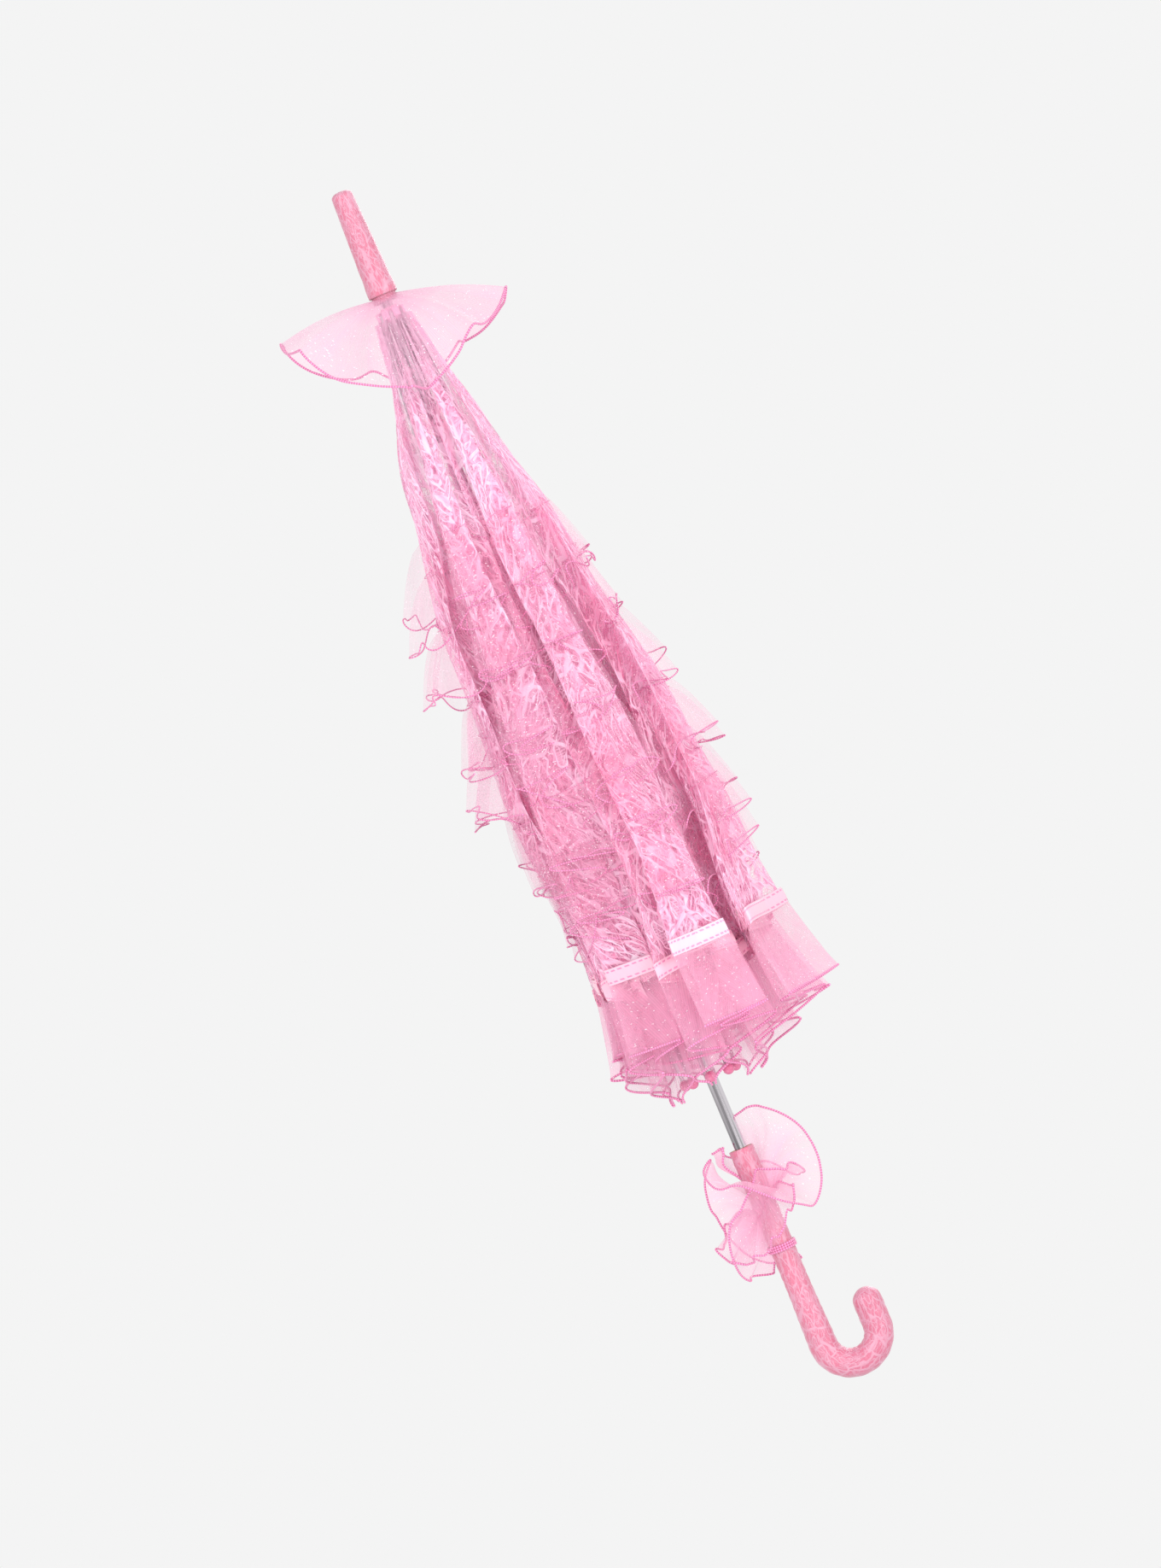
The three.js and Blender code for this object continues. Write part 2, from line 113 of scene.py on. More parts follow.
class ParasolCanopySettings(bpy.types.PropertyGroup):
    """Sizes of the canopy, measured down a rib from its pivot."""
    rib_length: length("Rib length", 0.523, "From pivot to tip, along the chord")
    rib_bow: length("Rib bow", 0.012, "How far the middle of a rib stands out of its chord")
    rib_lean: FloatProperty(
        name="Rib lean", description="Angle of a closed rib's chord", default=math.radians(1),
        subtype="ANGLE",
    )
    cloth_top: length("Cloth top", 0.004, "Where the lace starts")
    hem: length("Hem seam", 0.480, "Where the ribbon and the hem ruffle are sewn")
    tier_length: length("Tier length", 0.047, "Depth of one organza tier")
    hem_ruffle: length("Hem ruffle", 0.049, "Depth of the hem ruffle")
    ribbon: length("Ribbon width", 0.011, "Width of the satin ribbon over the hem's seam")
    folds: IntProperty(name="Folds", description="Folds in half a closed gore", default=2, min=1)


class ParasolColourSettings(bpy.types.PropertyGroup):
    """Dye colours, in linear light."""
    lace: colour("Lace", (0.98, 0.53, 0.77), "Lace thread")
    organza: colour("Organza", (0.87, 0.50, 0.66), "Sheer organza")
    edging: colour("Edging", (0.88, 0.26, 0.49), "Overlocking thread on every ruffle's edge")
    ribbon: colour("Ribbon", (0.80, 0.43, 0.54), "Satin ribbon")
    satin: colour("Satin", (0.50, 0.108, 0.185), "Satin on spike and crook")
    bead: colour("Bead", (0.72, 0.19, 0.34), "Rib tips")
    steel: colour("Steel", (0.36, 0.34, 0.36), "Tube and ribs")


class ParasolStageSettings(bpy.types.PropertyGroup):
    """Camera, floor and light."""
    tilt: FloatProperty(
        name="Tilt", description="How far the spike leans to the left in the view",
        default=math.radians(22.75), subtype="ANGLE",
    )
    view_height: length("View height", 0.9914, "Height of the view at the shaft")
    camera_distance: length("Camera distance", 5.0, "From the shaft to the camera")
    view_centre: FloatVectorProperty(
        name="View centre", description="Sideways and upwards place that the camera looks at",
        default=(-0.0045, 0.3236), size=2, unit="LENGTH",
    )
    floor_radius: length("Floor radius", 0.32, "Size of the round floor")
    floor_drop: length("Floor drop", 0.26, "From the crook's lowest point down to the floor")
    backdrop: colour("Backdrop", (0.905, 0.905, 0.905), "Plain pale surroundings")


def canopy():
    return bpy.context.scene.parasol_canopy


def dye(name):
    return tuple(getattr(bpy.context.scene.parasol_colours, name))


def brighter(name, factor):
    return [min(1, factor * c) for c in dye(name)]


# ---- mesh helpers ---------------------------------------------------------------------------

def smoothstep(low, high, value):
    t = np.clip((value - low) / (high - low), 0, 1)
    return t * t * (3 - 2 * t)


def new_mesh_object(name, points, faces, uv=None, material=None):
    """An object at the origin, smooth shaded, with uv given per point."""
    mesh = bpy.data.meshes.new(name)
    mesh.from_pydata([tuple(p) for p in points], [], faces)
    mesh.update()
    mesh.polygons.foreach_set("use_smooth", [True] * len(mesh.polygons))
    if uv is not None:
        layer = mesh.uv_layers.new(name="cloth")
        corner = np.zeros(len(mesh.loops), np.int32)
        mesh.loops.foreach_get("vertex_index", corner)
        layer.data.foreach_set("uv", np.asarray(uv, np.float32)[corner].ravel())
    obj = bpy.data.objects.new(name, mesh)
    bpy.context.scene.collection.objects.link(obj)
    if material is not None:
        mesh.materials.append(material)
    return obj


def grid_faces(rows, columns, first=0, around=False):
    """Quads of a grid of rows by columns; around closes each row into a ring."""
    last = columns if around else columns - 1
    faces = []
    for row in range(rows - 1):
        for column in range(last):
            a = first + row * columns + column
            b = first + row * columns + (column + 1) % columns
            faces.append((a, b, b + columns, a + columns))
    return faces


def tube_rings(line, radius, sides, closed=False):
    """Rings of points round a line of points, carried along it without twisting."""
    line = np.asarray(line, float)
    if closed:
        way = np.roll(line, -1, 0) - np.roll(line, 1, 0)
    else:
        way = np.gradient(line, axis=0)
    way /= np.linalg.norm(way, axis=1, keepdims=True) + 1e-12
    side = np.cross(way[0], (0.31, 0.52, 0.79))
    side /= np.linalg.norm(side)
    rings = []
    for point, along in zip(line, way):
        side = side - along * (side @ along)
        side /= np.linalg.norm(side)
        up = np.cross(along, side)
        angles = np.arange(sides) * TAU / sides
        spokes = np.outer(np.cos(angles), side) + np.outer(np.sin(angles), up)
        rings.append(point + radius * spokes)
    return np.array(rings)


class Gathered:
    """Collects several grids and tubes into the points, faces, uvs and weights of one piece."""

    def __init__(self):
        self.points, self.faces, self.uv, self.weights = [], [], [], []
        self.count = 0

    def _take(self, points, faces, uv, weights):
        self.points.append(points.reshape(-1, 3))
        self.uv.append(uv.reshape(-1, 2))
        self.weights.append(np.asarray(weights, float).reshape(-1))
        self.faces += faces
        self.count += points.reshape(-1, 3).shape[0]

    def sheet(self, points, uv, weights, around=False):
        rows, columns = points.shape[:2]
        self._take(points, grid_faces(rows, columns, self.count, around), uv, weights)

    def thread(self, line, radius, weights, sides=6, closed=False):
        """A thread along a line: closed joins its ends, and an open one has its ends capped."""
        rings = tube_rings(line, radius, sides, closed)
        count = len(rings)
        faces = grid_faces(count, sides, self.count, around=True)
        if closed:
            last = self.count + (count - 1) * sides
            faces += [(last + i, last + (i + 1) % sides,
                       self.count + (i + 1) % sides, self.count + i) for i in range(sides)]
        else:
            faces.append(tuple(self.count + i for i in reversed(range(sides))))
            faces.append(tuple(self.count + (count - 1) * sides + i for i in range(sides)))
        run = np.concatenate([[0], np.cumsum(np.linalg.norm(np.diff(line, axis=0), axis=1))])
        uv = np.stack(np.broadcast_arrays(run[:, None], np.arange(sides)[None, :] / sides), -1)
        self._take(rings, faces, uv, np.repeat(weights, sides))

    def made(self, name, material):
        return new_mesh_object(name, np.concatenate(self.points), self.faces,
                               np.concatenate(self.uv), material)

    def all_weights(self):
        return np.concatenate(self.weights).astype(np.float32)


def sheet_area(points):
    a = np.cross(points[1:, :-1] - points[:-1, :-1], points[:-1, 1:] - points[:-1, :-1])
    b = np.cross(points[1:, :-1] - points[1:, 1:], points[:-1, 1:] - points[1:, 1:])
    return 0.5 * (np.linalg.norm(a, axis=-1).sum() + np.linalg.norm(b, axis=-1).sum())


# ---- how a gore opens -----------------------------------------------------------------------

def turned(points, joint, angle):
    """Points turned about a hinge by an angle, which may differ from point to point."""
    axis, place = np.array(joint["axis"]), np.array(joint["pos_m"])
    angle = np.asarray(angle)[..., None]
    v = points - place
    return (place + v * np.cos(angle) + np.cross(axis, v) * np.sin(angle)
            + axis * (v @ axis)[..., None] * (1 - np.cos(angle)))


def swung_out(radius, height, angle):
    out, down = radius - PIVOT_RADIUS, PIVOT_HEIGHT - height
    return (PIVOT_RADIUS + out * math.cos(angle) + down * math.sin(angle),
            PIVOT_HEIGHT - down * math.cos(angle) + out * math.sin(angle))


def rib_line(down, offset=0.0):
    """Radius and height of a closed rib's middle line, moved outwards by offset."""
    c = canopy()
    share = np.minimum(down / c.rib_length, 1)
    out = 4 * c.rib_bow * share * (1 - share) + offset
    return swung_out(PIVOT_RADIUS + out, PIVOT_HEIGHT - down, c.rib_lean)


class HalfGore:
    """The cloth between a rib and the fold line of the gore on one side of it (1 or -1)."""

    def __init__(self, number, side):
        word = "after" if side > 0 else "before"
        self.side = side
        self.rib = f"rib_{number}"
        self.body = f"gore_{word}_rib_{number}"
        self.hinge = JOINTS[self.body + "_unfold"]
        self.rib_hinge = JOINTS[self.rib + "_swing"]
        self.unfold = RATIOS[self.body + "_unfold"] * TRAVEL
        self.azimuth = (number - 1) * TAU / RIB_COUNT
        self.number = number
        self.gore = (number - 1 if side > 0 else number - 2) % RIB_COUNT
        self.middle = (self.gore + 0.5) * TAU / RIB_COUNT

    def open_cloth(self, down, share, lift):
        """Places on the open canopy, lifted off it by lift."""
        radius, height = swung_out(*rib_line(down, 2.0 * MM), RIB_SWING)
        middle = self.azimuth + self.side * HALF_GORE
        inner = radius * math.cos(HALF_GORE)
        x = radius * math.cos(self.azimuth) * (1 - share) + inner * math.cos(middle) * share
        y = radius * math.sin(self.azimuth) * (1 - share) + inner * math.sin(middle) * share
        sag = 5 * MM * (down / canopy().rib_length) * share * (2 - share)
        lean = math.radians(76)
        return np.stack([x + lift * math.cos(lean) * math.cos(middle),
                         y + lift * math.cos(lean) * math.sin(middle),
                         height - sag + lift * math.sin(lean)], -1)

    def fold_phase(self, down, share):
        """Angle of the folds' to and fro from the rib (0) to the fold line (whole turns)."""
        wander = 0.19 * np.sin(math.pi * share) * np.sin(15 * down + 1.7 * self.gore + self.side)
        wander += 0.05 * np.sin(TAU * share) * np.sin(37 * down + 2.9 * self.gore)
        return TAU * canopy().folds * np.clip(share + wander, 0, 1)

    def fold_share(self, down, share):
        """How far the cloth has turned from the rib (0) to the fold line (1): it goes to and fro in
        folds, and ends at 0 and 1."""
        depth = 1.65 + 0.25 * np.sin(9 * down + 2.3 * self.gore)
        depth = (depth + 0.12 * np.sin(26 * down + self.gore)) * smoothstep(0, 0.22, share)
        return share - depth * np.sin(self.fold_phase(down, share)) / (TAU * canopy().folds)

    def closed_cloth(self, down, share, lift, hang=None):
        """Places and turning shares of the cloth on the closed parasol. hang is where, down the
        rib, the cloth is sewn on, if that isn't where the point lies."""
        sewn = down if hang is None else down * 0 + hang
        turn = self.fold_share(sewn, share)
        phase = self.fold_phase(sewn, share)
        room = FOLD_LIFT * np.clip(sewn / 0.20, 0.25, 1)
        puff = PUFF * max(0, -math.cos(self.middle)) * smoothstep(0.03, 0.12, sewn)
        lift = lift + puff * smoothstep(0.3, 1, share) * (1 - smoothstep(0.34, 0.45, sewn))
        slouch = np.sin(21 * sewn + 2.1 * self.gore + np.sin(11 * sewn))
        slouch = slouch + 0.5 * np.sin(47 * sewn + self.gore)
        uneven = SLOUCH * smoothstep(0.04, 0.16, sewn) * (1 - smoothstep(0.38, 0.46, sewn))
        lift = lift + uneven * (1.2 + slouch) * smoothstep(0.1, 0.9, share)
        loose = 1 + np.sin(14 * sewn + 2.3 * self.number) + 0.4 * np.sin(39 * sewn + self.number)
        lift = lift + 0.8 * uneven * loose * (1 - smoothstep(0, 0.5, share))
        lift = lift + room * (1 - np.cos(phase) + 0.8 * np.sin(phase) * np.sin(math.pi * share))
        at_rest = turned(self.open_cloth(down, share, lift), self.rib_hinge, -RIB_SWING)
        return turned(at_rest, self.hinge, -turn * self.unfold), turn

    def half_width(self, down):
        radius = swung_out(*rib_line(down), RIB_SWING)[0]
        return radius * math.sin(HALF_GORE)

    def follow(self, piece, weights):
        """Bakes the piece's place into its mesh; it turns with neither the rib nor the fold line.
        weights is not used."""
        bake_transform(piece)


def half_gores():
    return [HalfGore(number, side) for number in range(1, RIB_COUNT + 1) for side in (1, -1)]


def strip(half_gore, top, bottom, rows, columns, lift, hang=None):
    """Grid of a strip of cloth from top to bottom across half a gore; lift(v, share) is how far it
    stands off the canopy, with v from 0 at its top to 1 at its bottom. top and bottom may differ
    from column to column."""
    v = np.linspace(0, 1, rows)[:, None]
    share = np.linspace(0, 1, columns)[None, :]
    down = np.broadcast_to(top + (bottom - top) * v, (rows, columns))
    share = np.broadcast_to(share, (rows, columns))
    v = np.broadcast_to(v, (rows, columns))
    raised = lift(v, share)
    points, turn = half_gore.closed_cloth(down, share, raised, hang)
    uv = np.stack([share * half_gore.half_width(down) * half_gore.side, down], -1)
    flat = sheet_area(half_gore.open_cloth(down, share, raised))
    return points, uv, turn, flat


# ---- materials ------------------------------------------------------------------------------

class Nodes:
    """A material whose nodes are added in reading order."""

    def __init__(self, name, roughness=0.5, metallic=0.0):
        self.material = bpy.data.materials.new(name)
        self.material.use_nodes = True
        self.tree = self.material.node_tree
        self.shader = self.tree.nodes["Principled BSDF"]
        self.shader.inputs["Roughness"].default_value = roughness
        self.shader.inputs["Metallic"].default_value = metallic

    def add(self, kind, operation=None, **inputs):
        node = self.tree.nodes.new(kind)
        if operation is not None:
            node.operation = operation
        for key, value in inputs.items():
            self.feed(node.inputs[int(key[1:]) if key[1:].isdigit() else key], value)
        return node

    def feed(self, socket, value):
        if isinstance(value, bpy.types.NodeSocket):
            self.tree.links.new(value, socket)
        else:
            socket.default_value = value

    def math(self, operation, a, b=0.0, c=0.0):
        return self.add("ShaderNodeMath", operation, _0=a, _1=b, _2=c).outputs[0]

    def step(self, value, low, high, out_low=0.0, out_high=1.0):
        node = self.add("ShaderNodeMapRange", _0=value, _1=low, _2=high, _3=out_low, _4=out_high)
        node.clamp = True
        return node.outputs[0]

    def mix(self, share, a, b):
        node = self.tree.nodes.new("ShaderNodeMix")
        node.data_type = "RGBA"
        self.feed(node.inputs[0], share)
        self.feed(node.inputs[6], a if isinstance(a, bpy.types.NodeSocket) else (*a, 1))
        self.feed(node.inputs[7], b if isinstance(b, bpy.types.NodeSocket) else (*b, 1))
        return node.outputs[2]

    def cloth_place(self, scale):
        """The piece's own cloth coordinates in metres, times scale."""
        uv = self.add("ShaderNodeUVMap")
        uv.uv_map = "cloth"
        return self.add("ShaderNodeMapping", Vector=uv.outputs[0], Scale=scale).outputs[0]

    def object_place(self, scale):
        place = self.add("ShaderNodeTexCoord").outputs["Object"]
        return self.add("ShaderNodeMapping", Vector=place, Scale=scale).outputs[0]

    def voronoi(self, place, feature="F1", randomness=1.0, output="Distance"):
        node = self.add("ShaderNodeTexVoronoi", Vector=place, Scale=1.0, Randomness=randomness)
        node.feature = feature
        return node.outputs[output]

    def noise(self, place, scale, detail=2.0):
        return self.add("ShaderNodeTexNoise", Vector=place, Scale=scale, Detail=detail).outputs[0]

    def bump(self, height, strength, distance):
        node = self.add("ShaderNodeBump", Strength=strength, Distance=distance, Height=height)
        self.tree.links.new(node.outputs[0], self.shader.inputs["Normal"])

    def glowing(self, base, alpha, glow):
        """Thin cloth: a share of its light comes through from behind, and its holes are clear."""
        thin = self.add("ShaderNodeBsdfTranslucent", Color=base).outputs[0]
        clear = self.add("ShaderNodeBsdfTransparent").outputs[0]
        front = self.shader.outputs[0]
        cloth = self.add("ShaderNodeMixShader", _0=glow, _1=front, _2=thin).outputs[0]
        holed = self.add("ShaderNodeMixShader", _0=alpha, _1=clear, _2=cloth).outputs[0]
        self.tree.links.new(holed, self.tree.nodes["Material Output"].inputs["Surface"])

    def finish(self, base, **fixed):
        self.feed(self.shader.inputs["Base Color"], base)
        for key, value in fixed.items():
            self.shader.inputs[key.replace("_", " ")].default_value = value
        return self.material


def lace_pattern(n, scale=1.0):
    """Shares of the net, the leaf motifs' hatched filling and their outline threads."""
    place = n.cloth_place((scale, scale, scale))
    sway = n.noise(place, 70.0)
    other = n.noise(n.cloth_place((scale, scale, 1)), 31.0)
    drift = n.add("ShaderNodeCombineXYZ", X=sway, Y=other).outputs[0]
    shifted = n.add("ShaderNodeVectorMath", "MULTIPLY_ADD",
                    _0=drift, _1=(0.009, 0.012, 0), _2=place).outputs[0]

    def scaled(x, y):
        return n.add("ShaderNodeMapping", Vector=shifted, Scale=(x, y, 1)).outputs[0]

    net = n.step(n.voronoi(scaled(620, 520), "DISTANCE_TO_EDGE", 0.5), 0.08, 0.2, 1, 0)
    leaf_place = scaled(105, 34)
    leaf_far = n.voronoi(leaf_place, "F1", 0.9)
    bud_far = n.voronoi(scaled(230, 95), "F1", 0.9)
    stems = n.step(n.voronoi(leaf_place, "DISTANCE_TO_EDGE", 0.9), 0.03, 0.07, 1, 0)
    branches = n.step(n.voronoi(scaled(240, 60), "DISTANCE_TO_EDGE", 1.0), 0.03, 0.08, 1, 0)
    leaf = n.math("MAXIMUM", n.step(leaf_far, 0.30, 0.34, 1, 0), n.step(bud_far, 0.22, 0.28, 1, 0))
    rim = n.step(n.math("ABSOLUTE", n.math("SUBTRACT", leaf_far, 0.33)), 0.02, 0.06, 1, 0)
    bud_rim = n.step(n.math("ABSOLUTE", n.math("SUBTRACT", bud_far, 0.27)), 0.02, 0.07, 1, 0)
    outline = n.math("MAXIMUM", n.math("MAXIMUM", rim, bud_rim),
                     n.math("MAXIMUM", stems, n.math("MULTIPLY", branches, 0.8)))
    along = n.add("ShaderNodeSeparateXYZ", Vector=place).outputs[1]
    rungs = n.step(n.math("SINE", n.math("MULTIPLY", along, TAU / 0.0019)), -0.6, 0.1, 0.25, 1)
    return net, n.math("MULTIPLY", leaf, rungs), outline


def lace_material():
    n = Nodes("floral_lace", roughness=0.85)
    net, filling, outline = lace_pattern(n)
    streak = n.noise(n.cloth_place((420, 16, 1)), 1.0, 3.0)
    across = n.add("ShaderNodeSeparateXYZ", Vector=n.cloth_place((1, 1, 1))).outputs[0]
    slack = n.step(n.math("ABSOLUTE", across), 0.006, 0.026, 0.45, 1)
    pale = n.math("MAXIMUM", outline, n.math("MULTIPLY", filling, 0.65))
    pale = n.math("MULTIPLY", pale, n.step(streak, 0.3, 0.62, 0.35, 1))
    deep = [c * f for c, f in zip(dye("lace"), (1.0, 0.52, 0.66))]
    light = (0.95, 0.78, 0.90)
    patches = n.noise(n.cloth_place((26, 13, 1)), 1.0, 3.0)
    ground = n.mix(n.step(patches, 0.48, 0.66), n.mix(n.step(streak, 0.3, 0.7), deep, dye("lace")),
                   [c * f for c, f in zip(dye("lace"), (1.0, 0.42, 0.60))])
    base = n.mix(n.math("MULTIPLY", pale, n.step(patches, 0.48, 0.66, 1, 0.7)), ground, light)
    thread = n.math("MAXIMUM", n.math("MAXIMUM", n.math("MULTIPLY", net, 0.24),
                                      n.math("MULTIPLY", filling, 0.58)), outline)
    n.bump(thread, 0.5, 0.0005)
    n.glowing(base, n.math("MULTIPLY", n.step(thread, 0, 1, 0.04, 0.96), slack), 0.36)
    return n.finish(base, Sheen_Weight=0.2, Sheen_Roughness=0.5,
                    Sheen_Tint=(1, 0.85, 0.92, 1), Specular_IOR_Level=0.12)


def organza_material(name, alpha):
    n = Nodes(name, roughness=0.34)
    place = n.cloth_place((1, 1, 1))
    drift = n.noise(place, 45.0, 3.0)
    speck = n.voronoi(n.cloth_place((560, 560, 1)), "F1", 1.0)
    chosen = n.add("ShaderNodeTexWhiteNoise", Vector=n.voronoi(
        n.cloth_place((560, 560, 1)), "F1", 1.0, "Position")).outputs[0]
    glitter_painted_glint = n.math("MULTIPLY", n.step(speck, 0.18, 0.30, 1, 0), n.step(chosen, 0.74, 0.78))
    across, down, _ = n.add("ShaderNodeSeparateXYZ", Vector=place).outputs
    weave = n.math("SINE", n.math("MULTIPLY", across, TAU / 0.0011))
    creases = n.noise(n.cloth_place((260, 12, 1)), 1.0, 2.0)
    varied = n.math("ADD", n.math("MULTIPLY", drift, 0.5), n.math("MULTIPLY", creases, 0.5))
    varied = n.math("ADD", varied, n.math("MULTIPLY", weave, 0.05))
    gathered = n.step(down, 0.0, 0.030, 0.45, 0.0)
    cloth = n.math("ADD", n.step(varied, 0.35, 0.65, alpha * 0.6, alpha * 1.4), gathered)
    cloth_colour = n.mix(creases, dye("organza"), brighter("organza", 1.16))
    # Painted glints: the glitter flecks are coloured near white, standing in for the sparkle of light off them.
    base = n.mix(glitter_painted_glint, cloth_colour, (1, 0.97, 0.99))
    n.bump(n.math("ADD", n.math("MULTIPLY", weave, 0.3), creases), 0.25, 0.0005)
    n.glowing(base, n.math("MAXIMUM", cloth, n.math("MULTIPLY", glitter_painted_glint, 0.95)), 0.55)
    return n.finish(base, Sheen_Weight=0.5, Sheen_Roughness=0.3, Sheen_Tint=(1, 0.9, 0.95, 1),
                    Specular_IOR_Level=0.5)


def edging_material():
    n = Nodes("overlock_thread", roughness=0.55)
    run = n.add("ShaderNodeSeparateXYZ", Vector=n.cloth_place((1, 1, 1))).outputs[0]
    stitch = n.step(n.math("SINE", n.math("MULTIPLY", run, TAU / 0.0017)), -0.3, 0.6)
    base = n.mix(stitch, brighter("edging", 0.72), brighter("edging", 1.25))
    n.bump(stitch, 0.8, 0.0005)
    return n.finish(base, Sheen_Weight=0.3, Sheen_Roughness=0.4)


def binding_material():
    n = Nodes("binding_thread", roughness=0.6)
    height = n.add("ShaderNodeSeparateXYZ", Vector=n.object_place((1, 1, 1))).outputs[2]
    twist = n.noise(n.object_place((700, 700, 300)), 1.0, 2.0)
    ply = n.step(n.math("SINE", n.math("MULTIPLY", height, TAU / 0.0007)), -0.4, 0.5)
    base = n.mix(n.math("MULTIPLY", ply, twist), dye("satin"), dye("organza"))
    n.bump(ply, 0.6, 0.0003)
    return n.finish(base, Sheen_Weight=0.3)


def ribbon_material():
    n = Nodes("satin_ribbon", roughness=0.3)
    place = n.cloth_place((1, 1, 1))
    down = n.add("ShaderNodeSeparateXYZ", Vector=place).outputs[1]
    across = n.add("ShaderNodeSeparateXYZ", Vector=place).outputs[0]
    hem = canopy().hem
    line_top = n.math("ABSOLUTE", n.math("SUBTRACT", down, hem - 0.0092))
    line_bottom = n.math("ABSOLUTE", n.math("SUBTRACT", down, hem - 0.0018))
    near = n.step(n.math("MINIMUM", line_top, line_bottom), 0.0004, 0.0007, 1, 0)
    dash = n.step(n.math("SINE", n.math("MULTIPLY", across, TAU / 0.0028)), -0.5, -0.2)
    seam = n.math("MULTIPLY", near, dash)
    satin = n.noise(n.cloth_place((900, 60, 1)), 1.0)
    base = n.mix(seam, n.mix(satin, dye("ribbon"), brighter("ribbon", 1.12)),
                 brighter("edging", 0.8))
    n.bump(n.math("SUBTRACT", n.math("MULTIPLY", satin, 0.3), seam), 0.4, 0.0004)
    return n.finish(base, Sheen_Weight=0.25, Specular_IOR_Level=0.7, Anisotropic=0.5)


def covered_satin_material():
    n = Nodes("satin_under_lace", roughness=0.42)
    net, filling, outline = lace_pattern(n, 1.9)
    motifs = n.math("MAXIMUM", n.math("MULTIPLY", filling, 0.22), n.math("MULTIPLY", outline, 0.48))
    lace = n.math("MAXIMUM", n.math("MULTIPLY", net, 0.14), motifs)
    shade = n.noise(n.cloth_place((1, 1, 1)), 35.0, 2.0)
    satin = n.mix(shade, dye("satin"), [min(1, 1.25 * c + 0.02) for c in dye("satin")])
    base = n.mix(lace, satin, (0.64, 0.45, 0.56))
    n.bump(lace, 0.5, 0.0006)
    return n.finish(base, Sheen_Weight=0.3, Sheen_Roughness=0.4, Specular_IOR_Level=0.5)


def steel_material(name, shade, roughness):
    n = Nodes(name, roughness, metallic=1.0)
    brushing_and_painted_reflection = n.noise(n.object_place((420, 420, 5)), 1.0, 3.0)
    # Painted reflection: besides roughness and bumps, the brushing streaks swing the steel's colour between 0.55
    # and 1.9 times its own. They make dark and bright bands along the metal that stand in for reflected lamps and
    # dark surroundings.
    base = n.mix(n.step(brushing_and_painted_reflection, 0.36, 0.60), [shade * 0.55 * c for c in dye("steel")],
                 [shade * 1.9 * c for c in dye("steel")])
    worn = n.step(brushing_and_painted_reflection, 0.2, 0.8, roughness * 0.8, roughness * 1.3)
    n.feed(n.shader.inputs["Roughness"], worn)
    n.bump(brushing_and_painted_reflection, 0.08, 0.0002)
    return n.finish(base)


def plastic_material(name, base_colour, roughness):
    n = Nodes(name, roughness)
    grain = n.noise(n.object_place((1, 1, 1)), 900.0, 3.0)
    n.bump(grain, 0.12, 0.0002)
    return n.finish(n.mix(grain, [0.9 * c for c in base_colour], base_colour), Coat_Weight=0.2)


def wood_material():
    n = Nodes("crook_wood", 0.65)
    grain = n.noise(n.object_place((400, 400, 40)), 1.0, 4.0)
    n.bump(grain, 0.2, 0.0003)
    return n.finish(n.mix(grain, (0.34, 0.20, 0.10), (0.55, 0.36, 0.2)))


MATERIALS = {}


def finish_of(name):
    """Each material is made once, when a piece first asks for it."""
    makers = {
        "lace": lace_material,
        "organza": lambda: organza_material("tier_organza", 0.13),
        "crisp_organza": lambda: organza_material("ruffle_organza", 0.34),
        "edging": edging_material,
        "binding": binding_material,
        "ribbon": ribbon_material,
        "satin_lace": covered_satin_material,
        "tube": lambda: steel_material("polished_tube", 1.0, 0.10),
        "rib": lambda: steel_material("drawn_rib", 1.0, 0.28),
        "spring": lambda: steel_material("spring_steel", 0.7, 0.3),
        "plastic": lambda: plastic_material("moulded_pink", (0.85, 0.42, 0.60), 0.35),
        "bead": lambda: plastic_material("tip_bead", dye("bead"), 0.22),
        "wood": wood_material,
    }
    if name not in MATERIALS:
        MATERIALS[name] = makers[name]()
    return MATERIALS[name]


def deselect_all():
    bpy.ops.object.select_all(action="DESELECT")


# ---- operators ------------------------------------------------------------------------------

class PARASOL_OT_frame_finishes(bpy.types.Operator):
    """Give the ribs, stretchers, notch, runner and catches their finishes"""
    bl_idname = "parasol.frame_finishes"
    bl_label = "Frame finishes"

    def execute(self, context):
        finishes = {"stretcher": "rib", "rib_tip": "bead", "rib": "rib", "notch_wire": "spring",
                    "bottom_catch": "spring", "top_catch": "spring", "top_notch": "plastic",
                    "runner": "plastic", "stop_pin": "spring", "shaft": "tube",
                    "ferrule_core": "wood", "handle_core": "wood"}
        for node, obj in frame["nodes"].items():
            kind = next((k for k in finishes if node.startswith(k)), None)
            if kind is not None:
                obj.data.materials.clear()
                obj.data.materials.append(finish_of(finishes[kind]))
        return {"FINISHED"}


class PARASOL_OT_rib_tips(bpy.types.Operator):
    """Make a smooth bead with a neck for the end of every rib"""
    bl_idname = "parasol.rib_tips"
    bl_label = "Rib tips"

    def execute(self, context):
        for number in range(1, RIB_COUNT + 1):
            low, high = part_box(f"rib_tip_{number}")
            radius = (high.x - low.x) / 2
            centre = (low + high) / 2
            centre.z = low.z + radius
            deselect_all()
            bpy.ops.mesh.primitive_cylinder_add(
                vertices=28, radius=radius * 0.55, depth=high.z - centre.z,
                location=(centre.x, centre.y, (centre.z + high.z) / 2))
            neck = context.active_object
            deselect_all()
            bpy.ops.mesh.primitive_uv_sphere_add(segments=28, ring_count=18, radius=radius,
                                                 location=centre)
            bead = context.active_object
            bead.name = f"bead_{number}"
            neck.select_set(True)
            bpy.ops.object.join()
            bpy.ops.object.transform_apply(location=True, rotation=True, scale=True)
            bpy.ops.object.shade_smooth_by_angle(angle=math.radians(40))
            bead.data.materials.clear()
            bead.data.materials.append(finish_of("bead"))
            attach(bead, f"rib_{number}")
            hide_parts(f"rib_tip_{number}")
        return {"FINISHED"}


